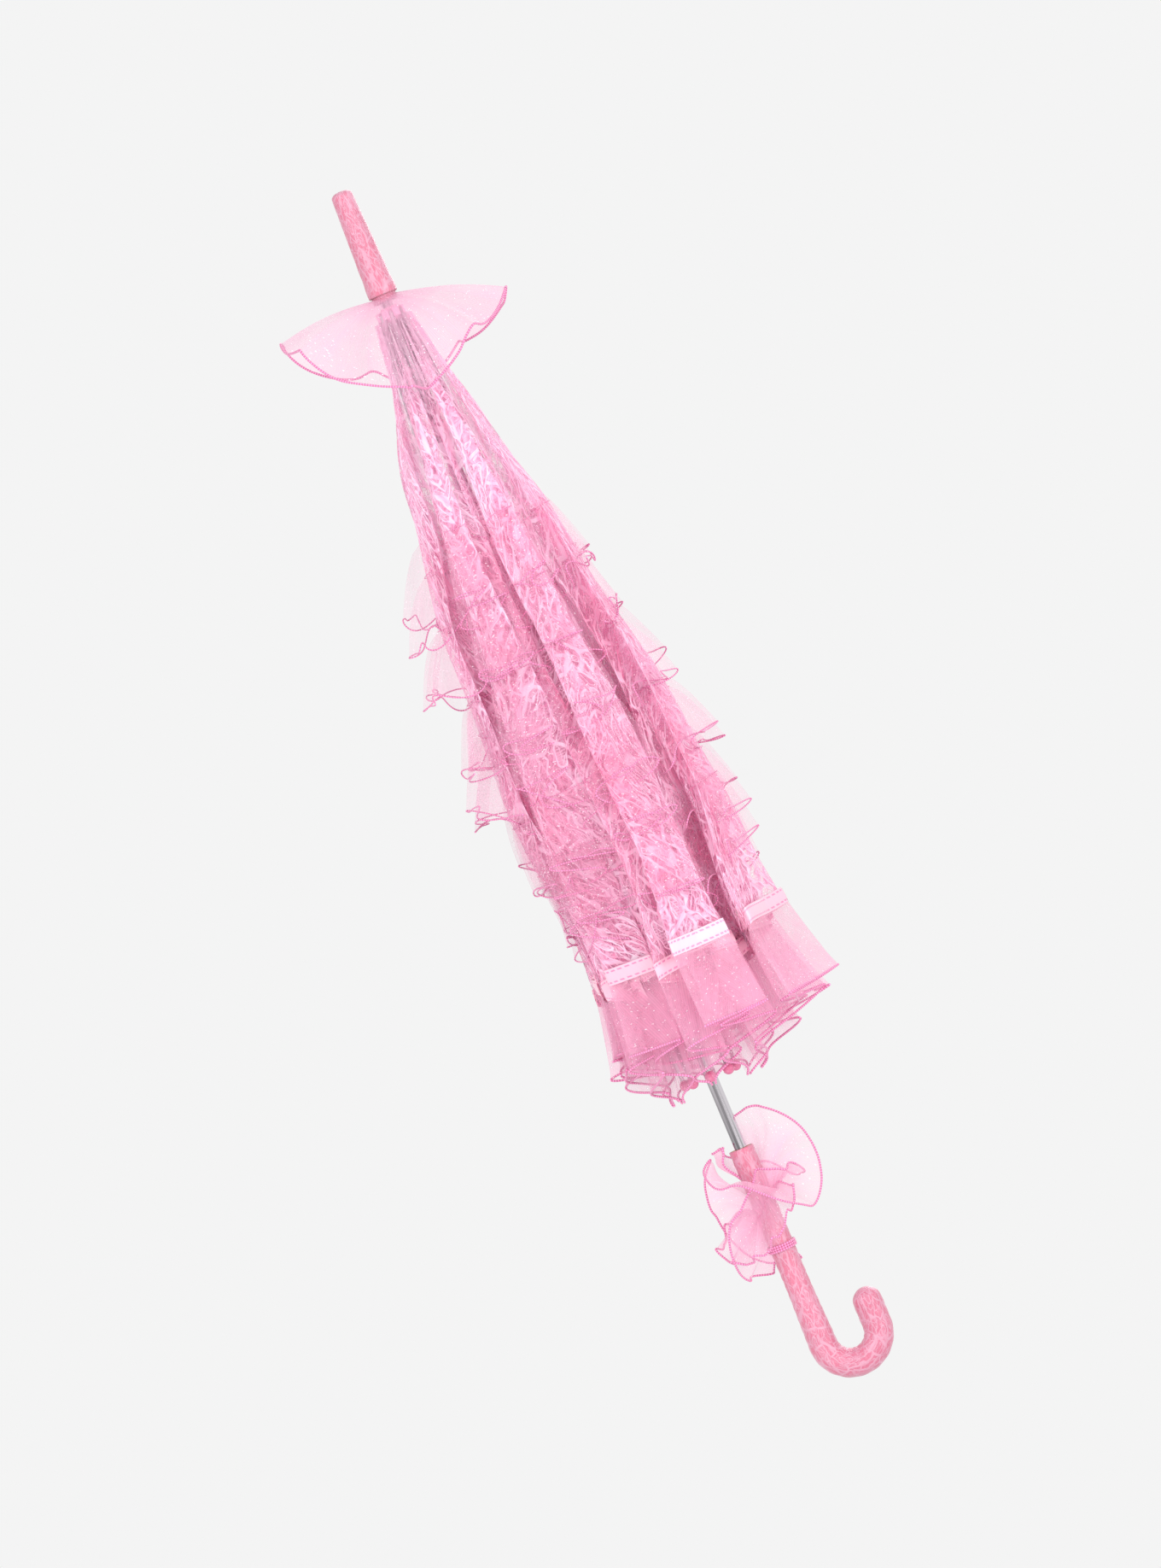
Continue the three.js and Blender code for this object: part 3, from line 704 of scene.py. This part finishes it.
class PARASOL_OT_lace(bpy.types.Operator):
    """Cut and gather the lace of every half gore"""
    bl_idname = "parasol.lace"
    bl_label = "Lace gores"

    def execute(self, context):
        c = canopy()
        for half in half_gores():
            def lift(v, share):
                return (1 + np.sin(TAU * 5.5 * share + 9 * v) * np.sin(31 * v + half.gore)
                        ) * 0.9 * MM * np.sin(math.pi * share)

            cloth = Gathered()
            points, uv, turn, flat = strip(half, c.cloth_top, c.hem, 90, 84, lift)
            cloth.sheet(points, uv, turn)
            piece = cloth.made(half.body.replace("gore", "lace"), finish_of("lace"))
            half.follow(piece, cloth.all_weights())
            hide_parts(half.body)
            half.half_width(c.hem)
        return {"FINISHED"}


def chance(*keys):
    """A fixed number from 0 to 1 for each set of keys."""
    mixed = sum(key * factor for key, factor in zip(keys, (12.9898, 78.233, 37.719)))
    return math.modf(abs(math.sin(mixed + 0.61)) * 4375.85)[0]


# how far the tiers' loose edges stand off on the parasol's two sides, from the top tier down
FLARE_LEFT = (22, 25, 15, 24, 2, 0)
FLARE_RIGHT = (0, 2, 5, 12, 7, 4)
TIER_BOTTOMS = (0.214, 0.258, 0.302, 0.348, 0.392, 0.436)


def edged(half, word, cloth, edge, finish):
    """The cloth and the overlocking threads of half a gore, as two pieces."""
    name = half.body.replace("gore", word)
    pieces = cloth.made(name, finish_of(finish)), edge.made(name + "_edging", finish_of("edging"))
    for piece, gathered in zip(pieces, (cloth, edge)):
        half.follow(piece, gathered.all_weights())
    return pieces


def blended(share, at_rib, at_fold):
    return at_rib + (at_fold - at_rib) * smoothstep(0.15, 0.95, share)


class PARASOL_OT_tiers(bpy.types.Operator):
    """Gather the organza tiers on every half gore and overlock their edges"""
    bl_idname = "parasol.tiers"
    bl_label = "Organza tiers"

    def execute(self, context):
        for half in half_gores():
            self.tiers_of(half, canopy())
        return {"FINISHED"}

    def tiers_of(self, half, c):
        cloth, edge, area = Gathered(), Gathered(), 0.0
        across = np.linspace(0, 1, 130)[None, :]
        for tier, bottom in enumerate(TIER_BOTTOMS):
            lift = self.lift(half, tier)
            place = blended(across, 24 * MM * (chance(half.number, tier) - 0.5),
                            30 * MM * (chance(half.gore, tier, 3) - 0.5))
            scallops = 1 + 1.5 * chance(half.gore, tier, half.side)
            scallop = 6.0 * MM * np.sin(TAU * scallops * across + tier) * np.sin(math.pi * across)
            points, uv, turn, flat = strip(half, bottom + place - c.tier_length,
                                           bottom + place + scallop, 10, 130, lift)
            cloth.sheet(points, uv, turn)
            edge.thread(points[-1], 0.5 * MM, turn[-1], sides=5)
            edge.thread(points[0], 0.25 * MM, turn[0], sides=4)
            area += flat
        piece, threads = edged(half, "tiers", cloth, edge, "organza")

    def lift(self, half, tier):
        to_side = math.cos(half.middle)
        at_fold = (1 + 5 * chance(half.gore, tier) ** 2 + FLARE_LEFT[tier] * max(0, -to_side)
                   + FLARE_RIGHT[tier] * max(0, to_side)) * MM
        at_rib = (1 + 9 * chance(half.number, tier, 5)) * MM
        turns = 1.5 + 1.5 * chance(half.gore, tier, half.side)

        def lift(v, share):
            wave = (np.sin(TAU * turns * share + half.gore) + 0.15 * np.sin(TAU * 4 * share + tier)
                    ) * np.sin(math.pi * share) ** 0.5
            return (1.4 * MM + 1.0 * MM * v + 2.0 * MM * (1 + wave) * (0.15 + 0.85 * v)
                    + blended(share, at_rib, at_fold) * v ** 0.6)

        return lift


class PARASOL_OT_hem(bpy.types.Operator):
    """Sew the hem ruffle on, and the satin ribbon over its seam"""
    bl_idname = "parasol.hem"
    bl_label = "Hem"

    def execute(self, context):
        c = canopy()
        for half in half_gores():
            self.ruffle(half, c)
            self.ribbon(half, c)
        return {"FINISHED"}

    def ruffle(self, half, c):
        across = np.linspace(0, 1, 160)[None, :]
        longer = 16 * (chance(half.gore, 9) - 0.4) + 9 * max(0, math.cos(half.middle))
        drop = blended(across, 6 * MM * chance(half.number, 7), longer * MM)
        top = c.hem - 3 * MM
        points, uv, turn, flat = strip(half, top, top + c.hem_ruffle + drop, 18, 160,
                                       self.lift(half), hang=c.hem)
        cloth, edge = Gathered(), Gathered()
        cloth.sheet(points, uv, turn)
        edge.thread(points[-1], 0.75 * MM, turn[-1], sides=6)
        piece, threads = edged(half, "hem_ruffle", cloth, edge, "crisp_organza")

    def lift(self, half):
        to_side, to_front = math.cos(half.middle), -math.sin(half.middle)
        at_fold = (3 - 5 * max(0, to_side) - 3 * max(0, -to_side) + 2 * max(0, to_front)
                   + 5 * chance(half.gore)) * MM
        at_rib = (2 + 7 * chance(half.number, 2)) * MM
        waves = 1.6 + chance(half.gore, half.side, 4)

        def lift(v, share):
            wave = np.sin(TAU * waves * share + half.gore) * np.sin(math.pi * share) ** 0.5
            curl = 0.15 * np.sin(TAU * 6 * share + half.number) * np.sin(math.pi * share)
            return (2.0 * MM + 5.0 * MM * (1 + wave + curl) * v ** 1.2
                    + blended(share, at_rib, at_fold) * v)

        return lift

    def ribbon(self, half, c):
        def lift(v, share):
            return 2.6 * MM + 0.4 * MM * np.sin(math.pi * v)

        cloth = Gathered()
        points, uv, turn, flat = strip(half, c.hem - c.ribbon, c.hem, 6, 96, lift, hang=c.hem)
        cloth.sheet(points, uv, turn)
        piece = cloth.made(half.body.replace("gore", "ribbon"), finish_of("ribbon"))
        half.follow(piece, cloth.all_weights())


def ripples(azimuth, waves):
    return sum(size * np.sin(count * azimuth + phase) for count, size, phase in waves)


def ring_area(points):
    return sheet_area(np.concatenate([points, points[:, :1]], axis=1))


class PARASOL_OT_crown_ruffle(bpy.types.Operator):
    """Gather the organza collar at the foot of the spike and tie it on"""
    bl_idname = "parasol.crown_ruffle"
    bl_label = "Crown ruffle"

    def execute(self, context):
        start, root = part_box("crown_ruffle")[1].z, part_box("ferrule_cover")[0].z
        columns, rows, reach = 360, 30, 0.068
        azimuth = np.arange(columns)[None, :] * TAU / columns
        v = np.linspace(0, 1, rows)[:, None]
        drop = np.radians(36 + 11 * np.cos(azimuth) - 8 * np.sin(azimuth)
                          - 22 * np.cos(2 * azimuth))
        run = v * reach * (1 + 0.05 * np.sin(3 * azimuth + 0.6))
        ripple = ripples(azimuth, ((7, 6.5, 0.9), (12, 3.0, 2.0), (19, 1.2, 0.4))) * MM * v ** 1.4
        bow = 5.0 * MM * np.sin(math.pi * v)
        out = 6.5 * MM + run * np.cos(drop) + (ripple + bow) * np.sin(drop)
        height = root - 1.0 * MM - run * np.sin(drop) + (ripple + bow) * np.cos(drop) * 0.7
        swing = azimuth + 0.10 * np.sin(7 * azimuth + 2.5) * v
        points = np.stack([out * np.cos(swing), out * np.sin(swing), height], -1)
        uv = np.stack(np.broadcast_arrays(azimuth * 0.05, run), -1)
        cloth, edge = Gathered(), Gathered()
        cloth.sheet(points, uv, np.zeros(points.shape[:2]), around=True)
        edge.thread(points[-1], 0.8 * MM, np.zeros(columns), closed=True)
        piece = cloth.made("crown_collar", finish_of("crisp_organza"))
        threads = edge.made("crown_collar_edging", finish_of("edging"))
        for part in (piece, threads):
            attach(part, "root")
            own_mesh(part)
        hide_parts("crown_ruffle")
        self.tie(context, start, root)
        return {"FINISHED"}

    def tie(self, context, start, root):
        """Turns of thread that hold the collar and the canopy's top to the shaft."""
        deselect_all()
        turns = []
        for height in np.linspace(start + 0.6 * MM, root - 0.4 * MM, 4):
            bpy.ops.mesh.primitive_torus_add(
                major_segments=64, minor_segments=10, location=(0, 0, height),
                major_radius=7.2 * MM, minor_radius=0.9 * MM)
            turns.append(context.active_object)
        for turn in turns:
            turn.select_set(True)
        bpy.ops.object.join()
        tie = context.active_object
        tie.name = "crown_tie"
        bpy.ops.object.transform_apply(location=True, rotation=True, scale=True)
        bpy.ops.object.shade_smooth()
        tie.data.materials.clear()
        tie.data.materials.append(finish_of("binding"))
        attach(tie, "root")


class PARASOL_OT_handle_ruffle(bpy.types.Operator):
    """Wind a gathered organza frill round the top of the crook and tie it"""
    bl_idname = "parasol.handle_ruffle"
    bl_label = "Handle ruffle"

    def execute(self, context):
        outer = (np.radians((75, 25, -5, -30, -120, -185, -205, -240, -310)),
                 np.radians((88, 74, 20, -38, 15, 60, 15, -42, -66)),
                 (0.058, 0.056, 0.050, 0.044, 0.045, 0.043, 0.034, 0.020, 0.010),
                 (0.032, 0.039, 0.036, 0.033, 0.026, 0.032, 0.028, 0.030, 0.018))
        inner = (np.radians((200, 150, 100, 40, -30, -75, -125, -170, -225)),
                 np.radians((75, 66, 45, 10, 35, 62, 30, -40, -62)),
                 (0.054, 0.052, 0.048, 0.040, 0.036, 0.032, 0.024, 0.016, 0.009),
                 (0.022, 0.026, 0.027, 0.025, 0.024, 0.026, 0.025, 0.030, 0.020))
        front = (np.radians((-40, -75, -110, -150, -190, -225)),
                 np.radians((-10, -38, -55, -52, -30, -5)),
                 (0.040, 0.039, 0.037, 0.035, 0.033, 0.031),
                 (0.020, 0.030, 0.036, 0.038, 0.034, 0.022))
        cloth, edge, area = Gathered(), Gathered(), 0.0
        for values in (outer, inner, front):
            points, uv = self.winding(*values)
            cloth.sheet(points, uv, np.zeros(points.shape[:2]))
            rim = np.concatenate([points[:, 0], points[-1, 1:-1], points[::-1, -1]])
            edge.thread(rim, 0.7 * MM, np.zeros(len(rim)))
            area += sheet_area(points)
        angles = np.arange(60) * TAU / 60
        for height in (0.0035, 0.005, 0.0065):
            tie = np.stack([9.0 * MM * np.cos(angles), 9.0 * MM * np.sin(angles),
                            height + 0.5 * MM * np.sin(angles)], -1)
            edge.thread(tie, 0.8 * MM, np.zeros(60), closed=True)
        piece = cloth.made("handle_frill", finish_of("crisp_organza"))
        threads = edge.made("handle_frill_edging", finish_of("edging"))
        for part in (piece, threads):
            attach(part, "root")
        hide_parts("handle_ruffle")
        return {"FINISHED"}

    def winding(self, azimuths, rises, bases, reaches):
        """A strip gathered along its inner edge, which winds down the crook's top. The four runs of
        values give where its gathers are and which way its loose edge stands."""
        columns, rows = 420, 24
        s = np.linspace(0, 1, columns)[None, :]
        v = np.linspace(0, 1, rows)[:, None]
        azimuth, rise, base, reach = (self.eased(s, values)
                                      for values in (azimuths, rises, bases, reaches))
        run = v * reach
        ripple = (3.0 * np.sin(TAU * 6.5 * s + 0.8) + 1.2 * np.sin(TAU * 13 * s)) * MM * v ** 1.3
        curl = 5.0 * MM * np.sin(math.pi * v) ** 2
        out = 8.2 * MM + run * np.cos(rise) - (ripple - curl) * np.sin(rise)
        height = base + 0 * v + run * np.sin(rise) + (ripple + curl) * np.cos(rise)
        points = np.stack([out * np.cos(azimuth), out * np.sin(azimuth), height], -1)
        return points, np.stack(np.broadcast_arrays(s * 0.33, run), -1)

    def eased(self, s, values):
        """A smooth run through values that are spread evenly over s from 0 to 1."""
        place = s * (len(values) - 1)
        before = np.clip(np.floor(place).astype(int), 0, len(values) - 2)
        values = np.asarray(values)
        slopes = np.gradient(values)
        t = place - before
        a, b, m, n = values[before], values[before + 1], slopes[before], slopes[before + 1]
        return ((2 * t ** 3 - 3 * t ** 2 + 1) * a + (t ** 3 - 2 * t ** 2 + t) * m
                + (3 * t ** 2 - 2 * t ** 3) * b + (t ** 3 - t ** 2) * n)


def sleeve(name, middles, ways, radii, sides=48):
    """A cloth sleeve round a line in the plane y = 0, closed at its far end, with cloth uvs."""
    angles = np.arange(sides) * TAU / sides
    normals = np.stack([-ways[:, 1], np.zeros(len(ways)), ways[:, 0]], -1)
    across = np.array([0.0, 1.0, 0.0])
    centres = np.stack([middles[:, 0], np.zeros(len(middles)), middles[:, 1]], -1)
    spokes = (np.cos(angles)[None, :, None] * normals[:, None]
              + np.sin(angles)[None, :, None] * across)
    points = centres[:, None] + radii[:, None, None] * spokes
    run = np.concatenate([[0], np.cumsum(np.linalg.norm(np.diff(middles, axis=0), axis=1)
                                         + np.abs(np.diff(radii)))])
    uv = np.stack(np.broadcast_arrays(angles[None, :] * radii.max(), run[:, None]), -1)
    cloth = Gathered()
    cloth.sheet(points, uv, np.zeros(points.shape[:2]), around=True)
    piece = cloth.made(name, finish_of("satin_lace"))
    thickness = piece.modifiers.new("thickness", "SOLIDIFY")
    thickness.thickness = 0.4 * MM
    return piece, ring_area(points)


class PARASOL_OT_covers(bpy.types.Operator):
    """Pull the satin and lace covers over the spike and the crook"""
    bl_idname = "parasol.covers"
    bl_label = "Covers"

    def execute(self, context):
        self.spike()
        self.crook()
        return {"FINISHED"}

    def spike(self):
        low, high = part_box("ferrule_cover")
        base = (high.x - low.x) / 2
        tip = base - 2.7 * MM
        shoulder = high.z - 3.0 * MM
        heights = np.linspace(low.z, shoulder, 60)
        radii = base + (tip - base) * (heights - low.z) / (shoulder - low.z)
        radii = radii + 0.25 * MM * np.sin(heights * 420) * np.exp(-(heights - low.z) / 0.02)
        turn = np.linspace(0, math.pi / 2, 10)[1:]
        heights = np.concatenate([heights, shoulder + 3.0 * MM * np.sin(turn)])
        radii = np.concatenate([radii, tip - (tip - 1.5 * MM) * (1 - np.cos(turn)), [0.3 * MM]])
        heights = np.concatenate([heights, [high.z]])
        middles = np.stack([0 * heights, heights], -1)
        piece, area = sleeve("spike_cover", middles, np.tile((0.0, 1.0), (len(heights), 1)), radii)
        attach(piece, "root")
        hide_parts("ferrule_cover")

    def crook(self):
        low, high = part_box("handle_cover")
        top, hook = high.z, (high.y - low.y) / 2
        bend = (high.x - hook - (low.x + hook)) / 2
        centre = low.z + hook + bend
        straight = top - centre
        tail_top = -0.039
        lengths = (straight, math.pi * bend, tail_top - centre)
        total = sum(lengths)
        run = np.concatenate([np.linspace(0, total - hook, 150),
                              total - hook + hook * np.sin(np.linspace(0, math.pi / 2, 14)[1:])])
        middles, ways = [], []
        for place in run:
            if place <= lengths[0]:
                middles.append((0.0, top - place))
                ways.append((0.0, -1.0))
            elif place <= lengths[0] + lengths[1]:
                angle = math.pi + (place - lengths[0]) / bend
                middles.append((bend + bend * math.cos(angle), centre + bend * math.sin(angle)))
                ways.append((-math.sin(angle), math.cos(angle)))
            else:
                middles.append((2 * bend, centre + place - lengths[0] - lengths[1]))
                ways.append((0.0, 1.0))
        grip = 7.6 * MM
        radii = grip + (hook - grip) * smoothstep(0.085, 0.150, run)
        past = np.clip((run - (total - hook)) / hook, 0, 1)
        radii = np.maximum(radii * np.sqrt(1 - past ** 2), 0.3 * MM)
        radii = radii + 0.12 * MM * np.sin(run * 900) * (radii > 0.005)
        piece, area = sleeve("crook_cover", np.array(middles), np.array(ways), radii)
        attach(piece, "root")
        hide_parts("handle_cover")


class PARASOL_OT_stage(bpy.types.Operator):
    """Set up the camera, the pale floor and soft studio light"""
    bl_idname = "parasol.stage"
    bl_label = "Stage"

    def execute(self, context):
        s = context.scene.parasol_stage
        scene = context.scene
        deselect_all()
        bpy.ops.mesh.primitive_circle_add(vertices=96, radius=s.floor_radius, fill_type="NGON",
                                          location=(0, 0, CAD_BOX[0][2] - s.floor_drop))
        floor = context.active_object
        floor.name = "floor"
        floor.data.materials.append(plastic_material("pale_floor", (0.7, 0.7, 0.7), 0.8))
        world = bpy.data.worlds.new("studio")
        world.use_nodes = True
        world.node_tree.nodes["Background"].inputs[0].default_value = (*s.backdrop, 1)
        world.node_tree.nodes["Background"].inputs[1].default_value = 1.0
        scene.world = world
        lamps = (("key", (-1.7, -2.6, 1.9), (1.6, 1.6), 35),
                 ("fill", (2.1, -2.3, 0.5), (1.8, 1.8), 53),
                 ("rim", (1.3, 2.6, 1.5), (1.8, 1.8), 40),
                 ("low", (-1.2, -1.6, -1.2), (1.4, 1.4), 14),
                 ("strip", (-0.55, -2.2, 0.33), (0.18, 1.6), 6))
        for name, place, size, power in lamps:
            light = bpy.data.lights.new(name, "AREA")
            light.shape = "RECTANGLE"
            light.size, light.size_y = size
            light.energy = power
            lamp = bpy.data.objects.new(name, light)
            lamp.matrix_world = Matrix.Translation(place) @ (
                Vector((0, 0, 0.33)) - Vector(place)).to_track_quat("-Z", "Y").to_matrix().to_4x4()
            scene.collection.objects.link(lamp)
        camera = bpy.data.cameras.new("camera")
        camera.sensor_fit = "VERTICAL"
        camera.sensor_height = 24
        camera.lens = 24 * s.camera_distance / s.view_height
        view = bpy.data.objects.new("camera", camera)
        c, t = math.cos(s.tilt), math.sin(s.tilt)
        turn = Matrix(((c, t, 0), (0, 0, -1), (-t, c, 0)))
        place = (s.view_centre[0], -s.camera_distance, s.view_centre[1])
        view.matrix_world = Matrix.Translation(place) @ turn.to_4x4()
        scene.collection.objects.link(view)
        scene.camera = view
        scene.view_settings.view_transform = "Standard"
        scene.cycles.transparent_max_bounces = 48
        return {"FINISHED"}


class PARASOL_PT_panel(bpy.types.Panel):
    """Lists the parasol's settings and the steps that make it"""
    bl_idname = "PARASOL_PT_panel"
    bl_label = "Lace parasol"
    bl_space_type = "VIEW_3D"
    bl_region_type = "UI"
    bl_category = "Parasol"

    def draw(self, context):
        for group in ("parasol_canopy", "parasol_colours", "parasol_stage"):
            box = self.layout.box()
            settings = getattr(context.scene, group)
            for key in settings.__annotations__:
                box.prop(settings, key)
        for step in STEPS:
            self.layout.operator(step.bl_idname)


STEPS = (PARASOL_OT_stage, PARASOL_OT_frame_finishes, PARASOL_OT_rib_tips,
         PARASOL_OT_covers, PARASOL_OT_lace, PARASOL_OT_tiers, PARASOL_OT_hem,
         PARASOL_OT_crown_ruffle, PARASOL_OT_handle_ruffle)
GROUPS = {"parasol_canopy": ParasolCanopySettings, "parasol_colours": ParasolColourSettings,
          "parasol_stage": ParasolStageSettings}


def register():
    for name, group in GROUPS.items():
        bpy.utils.register_class(group)
        setattr(bpy.types.Scene, name, PointerProperty(type=group))
    for step in STEPS:
        bpy.utils.register_class(step)
    bpy.utils.register_class(PARASOL_PT_panel)


def unregister():
    bpy.utils.unregister_class(PARASOL_PT_panel)
    for step in reversed(STEPS):
        bpy.utils.unregister_class(step)
    for name, group in GROUPS.items():
        delattr(bpy.types.Scene, name)
        bpy.utils.unregister_class(group)


def main():
    register()
    for step in STEPS:
        group, name = step.bl_idname.split(".")
        getattr(getattr(bpy.ops, group), name)()


if __name__ == "__main__":
    main()
